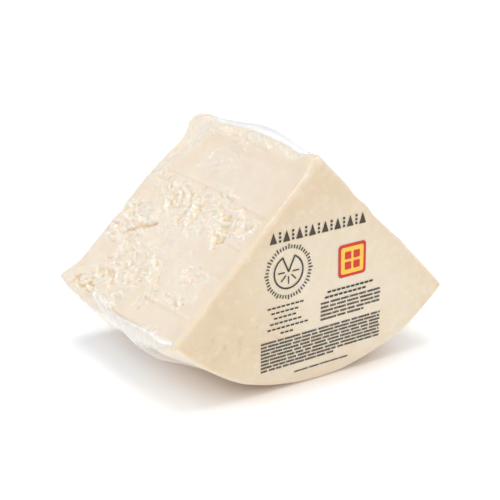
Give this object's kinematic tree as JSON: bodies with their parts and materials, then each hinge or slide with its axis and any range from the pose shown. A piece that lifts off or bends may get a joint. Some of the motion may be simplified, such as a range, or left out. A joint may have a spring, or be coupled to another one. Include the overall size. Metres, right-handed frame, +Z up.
{
  "type": "wedge of hard cheese sealed in clear film",
  "caption": "Large wedge of pale hard grating cheese, vacuum sealed in clear film, resting on its curved heel with the apex edge on top.",
  "frame": {"origin": "centre of the footprint of the whole pack, on the surface it rests on", "axes": "+Z up through the apex edge; the flat printed face looks along -Y; +Y runs back along the wheel's axis; +X to the right cut face"},
  "size_m": [0.2154, 0.1542, 0.1566],
  "materials": {
    "cheese": "pale ivory cheese paste, faintly mottled, crumbled along the knife cuts, moist under the film",
    "film": "thin clear shrink film, glossy, milky where it is folded",
    "print": "dark grey-brown ink printed on the film"
  },
  "bodies": {
    "root": {"pecorino_pack": "cheese"}
  },
  "joints": []
}
